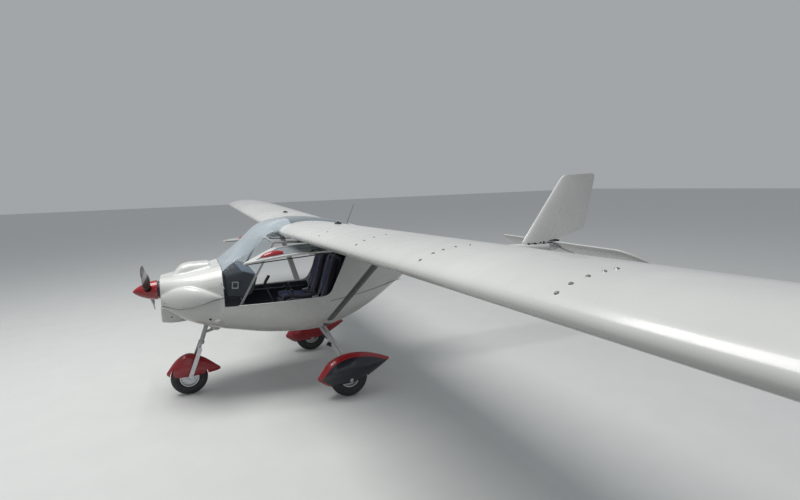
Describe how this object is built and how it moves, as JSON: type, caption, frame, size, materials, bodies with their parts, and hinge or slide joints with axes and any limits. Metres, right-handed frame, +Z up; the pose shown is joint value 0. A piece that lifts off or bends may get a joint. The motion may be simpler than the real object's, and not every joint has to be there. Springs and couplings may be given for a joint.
{
  "type": "two-seat high-wing ultralight aircraft",
  "caption": "Two-seat high-wing ultralight aircraft with a tractor propeller, gull-wing doors raised, pod-and-boom hull and wheels in spats.",
  "frame": {"origin": "on the ground under the centre of the bounding box, on the plane of symmetry", "axes": "+X forward to the spinner, +Y to the left wing tip, +Z up"},
  "size_m": [5.8073, 10.14, 2.1279],
  "materials": {
    "shell_white": "white gel coat on composite",
    "gel_red": "deep red gel coat",
    "blade_black": "black laminated blades with a pale band",
    "cast_grey": "dark cast housing",
    "engine_metal": "plain block for the engine's mass",
    "sheet_metal": "plain sheet and plate",
    "clear_pane": "clear moulded pane",
    "smoke_pane": "lightly smoked pane",
    "tube_grey": "light grey painted tube",
    "panel_dark": "matt dark covering",
    "floor_dark": "dark carpeted board",
    "seat_cloth": "navy woven cloth",
    "strut_grey": "dark grey fairing tube",
    "tyre_black": "matt black rubber",
    "rim_metal": "bare cast rim"
  },
  "bodies": {
    "airframe": {"gearbox": "cast_grey", "engine_block": "engine_metal", "firewall": "sheet_metal", "cowl_upper": "shell_white", "cowl_lower": "shell_white", "cabin_tub": "shell_white", "rear_fairing": "shell_white", "windscreen": "clear_pane", "roof_glass": "clear_pane", "cabin_frame": "tube_grey", "instrument_panel": "panel_dark", "cabin_floor": "floor_dark", "seats": "seat_cloth", "control_stick": "tube_grey", "rudder_pedals": "tube_grey", "wing_left": "shell_white", "wing_right": "shell_white", "lift_struts": "strut_grey", "tail_boom": "shell_white", "fin": "shell_white", "boom_fitting": "sheet_metal", "nose_leg": "tube_grey", "main_legs": "tube_grey", "main_spats": "gel_red", "whip_antenna": "tube_grey"},
    "propeller_group": {"spinner": "gel_red", "propeller": "blade_black"},
    "nose_steering": {"nose_fork": "sheet_metal", "nose_spat": "gel_red"},
    "nose_wheel": {"nose_tyre": "tyre_black", "nose_rim": "rim_metal"},
    "main_wheel_left": {"main_left_tyre": "tyre_black", "main_left_rim": "rim_metal"},
    "main_wheel_right": {"main_right_tyre": "tyre_black", "main_right_rim": "rim_metal"},
    "rudder_group": {"rudder": "shell_white"},
    "tailplane_group": {"tailplane": "shell_white"},
    "flaperon_left_group": {"flaperon_left": "shell_white"},
    "flaperon_right_group": {"flaperon_right": "shell_white"},
    "door_left_group": {"door_left": "shell_white", "door_glass_left": "smoke_pane", "door_vent_left": "gel_red"},
    "door_right_group": {"door_right": "shell_white", "door_glass_right": "smoke_pane", "door_vent_right": "gel_red"}
  },
  "joints": [
    {"name": "propeller_spin", "type": "hinge", "parent": "airframe", "child": "propeller_group", "pos_m": [2.765, 0, 1.115], "axis": [1, 0, 0], "continuous": true},
    {"name": "nose_steer", "type": "hinge", "parent": "airframe", "child": "nose_steering", "pos_m": [2.333, 0, 0.515], "axis": [-0.3434, 0, 0.9392], "range_deg": [-20, 20]},
    {"name": "nose_wheel_spin", "type": "hinge", "parent": "nose_steering", "child": "nose_wheel", "pos_m": [2.468, 0, 0.178], "axis": [0, 1, 0], "continuous": true},
    {"name": "main_wheel_left_spin", "type": "hinge", "parent": "airframe", "child": "main_wheel_left", "pos_m": [1.015, 0.8, 0.19], "axis": [0, 1, 0], "continuous": true},
    {"name": "main_wheel_right_spin", "type": "hinge", "parent": "airframe", "child": "main_wheel_right", "pos_m": [1.015, -0.8, 0.19], "axis": [0, 1, 0], "continuous": true},
    {"name": "rudder_turn", "type": "hinge", "parent": "airframe", "child": "rudder_group", "pos_m": [-2.087, 0, 1.25], "axis": [-0.448, 0, 0.894], "range_deg": [-25, 25]},
    {"name": "tailplane_pitch", "type": "hinge", "parent": "airframe", "child": "tailplane_group", "pos_m": [-2.295, 0, 1.168], "axis": [0, 1, 0], "range_deg": [0, 35]},
    {"name": "flaperon_left_turn", "type": "hinge", "parent": "airframe", "child": "flaperon_left_group", "pos_m": [0.5932, 0.3, 1.5562], "axis": [0, 0.9997, 0.0236], "range_deg": [-20, 20]},
    {"name": "flaperon_right_turn", "type": "hinge", "parent": "airframe", "child": "flaperon_right_group", "pos_m": [0.5932, -0.3, 1.5562], "axis": [0, 0.9997, -0.0236], "range_deg": [-20, 20]},
    {"name": "door_left_lift", "type": "hinge", "parent": "airframe", "child": "door_left_group", "pos_m": [1.485, 0.54, 1.503], "axis": [1, 0, 0], "range_deg": [-88, 0]},
    {"name": "door_right_lift", "type": "hinge", "parent": "airframe", "child": "door_right_group", "pos_m": [1.485, -0.54, 1.503], "axis": [1, 0, 0], "range_deg": [0, 88]}
  ]
}
